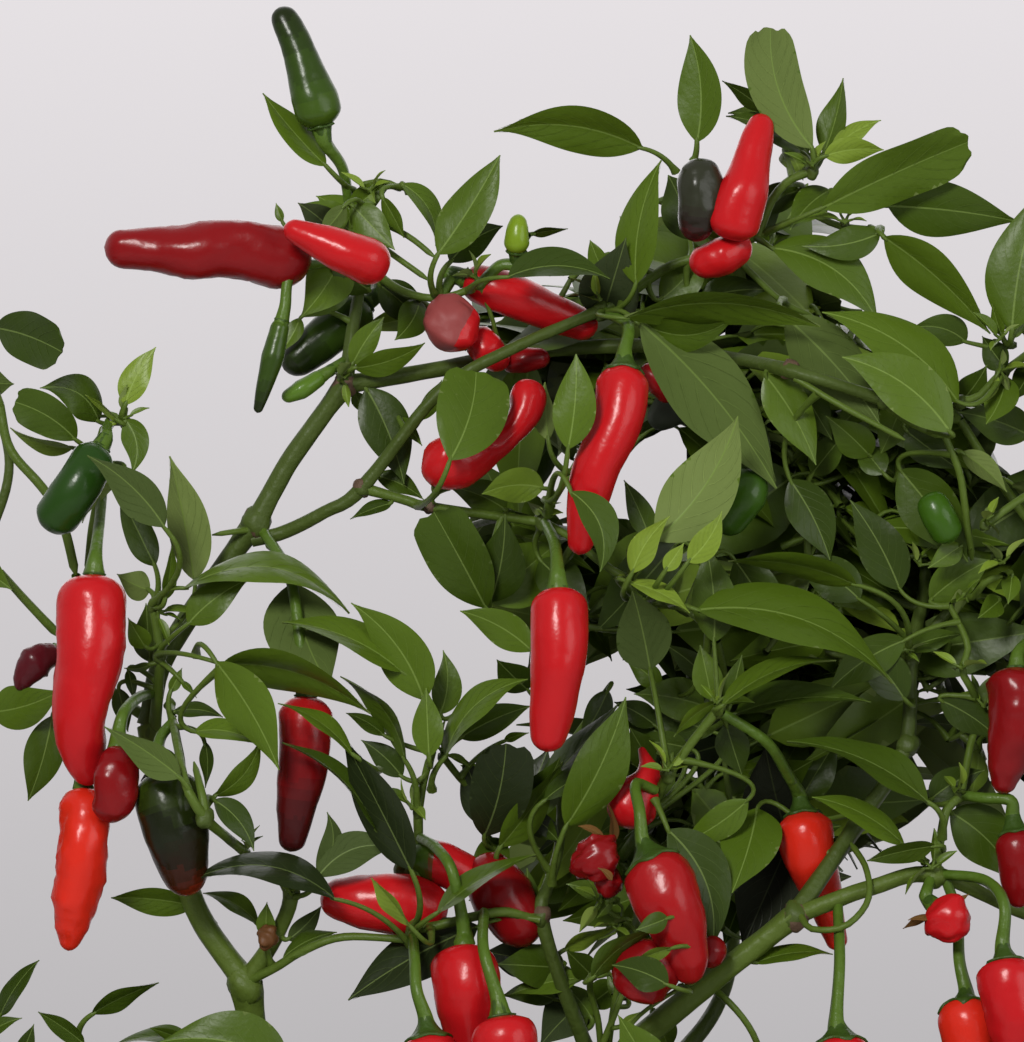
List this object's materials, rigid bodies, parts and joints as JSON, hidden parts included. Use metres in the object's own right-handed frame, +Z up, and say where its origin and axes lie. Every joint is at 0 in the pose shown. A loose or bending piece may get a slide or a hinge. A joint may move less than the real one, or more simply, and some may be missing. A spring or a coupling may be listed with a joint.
{
  "type": "chilli pepper plant in a pot",
  "caption": "Bushy chilli pepper plant in a plain clay pot: one forking stem with knobbly green boughs, glossy drooping leaves and long hanging red fruits.",
  "frame": {"origin": "centre of the pot's flat underside", "axes": "+Z up along the pot's axis, +X to the right as the plant is seen from its front, +Y from the front to the back"},
  "size_m": [0.3278, 0.2287, 0.5921],
  "materials": {
    "clay": "plain matt fired clay",
    "compost": "crumbly moist compost",
    "old_bark": "finely ribbed grey-green bark",
    "green_bark": "smooth green stem with dark knots",
    "foliage": "glossy dark green leaves with paler undersides"
  },
  "bodies": {
    "root": {"bough_back_left": "green_bark", "bough_back_right": "green_bark", "bough_centre": "green_bark", "bough_edge_left": "green_bark", "bough_heart": "green_bark", "bough_left": "green_bark", "bough_left_middle": "green_bark", "bough_left_spur": "green_bark", "bough_left_top": "green_bark", "bough_left_upper": "green_bark", "bough_low_left": "green_bark", "bough_middle": "green_bark", "bough_right": "green_bark", "bough_right_back": "green_bark", "bough_right_edge": "green_bark", "bough_right_outer": "green_bark", "bough_right_top": "green_bark", "bough_right_upper": "green_bark", "bough_top_centre": "green_bark", "bough_top_left": "green_bark", "compost": "compost", "leaves_back_centre": "foliage", "leaves_back_foot": "foliage", "leaves_back_left": "foliage", "leaves_back_low": "foliage", "leaves_back_right": "foliage", "leaves_back_top": "foliage", "leaves_bottom_centre": "foliage", "leaves_bottom_edge": "foliage", "leaves_bottom_front": "foliage", "leaves_bottom_left": "foliage", "leaves_bottom_right": "foliage", "leaves_centre": "foliage", "leaves_centre_left": "foliage", "leaves_far_left": "foliage", "leaves_left": "foliage", "leaves_left_arc": "foliage", "leaves_left_low": "foliage", "leaves_left_outer": "foliage", "leaves_left_spray": "foliage", "leaves_low_centre": "foliage", "leaves_low_middle": "foliage", "leaves_low_right": "foliage", "leaves_middle": "foliage", "leaves_right_low": "foliage", "leaves_right_middle": "foliage", "leaves_right_shoulder": "foliage", "leaves_right_side": "foliage", "leaves_right_tip": "foliage", "leaves_right_upper": "foliage", "leaves_top_centre": "foliage", "leaves_top_left": "foliage", "leaves_top_left_shoot": "foliage", "leaves_top_middle": "foliage", "leaves_top_right": "foliage", "leaves_top_spray": "foliage", "leaves_under_top_left": "foliage", "main_stem": "old_bark", "pot": "clay"}
  },
  "joints": []
}
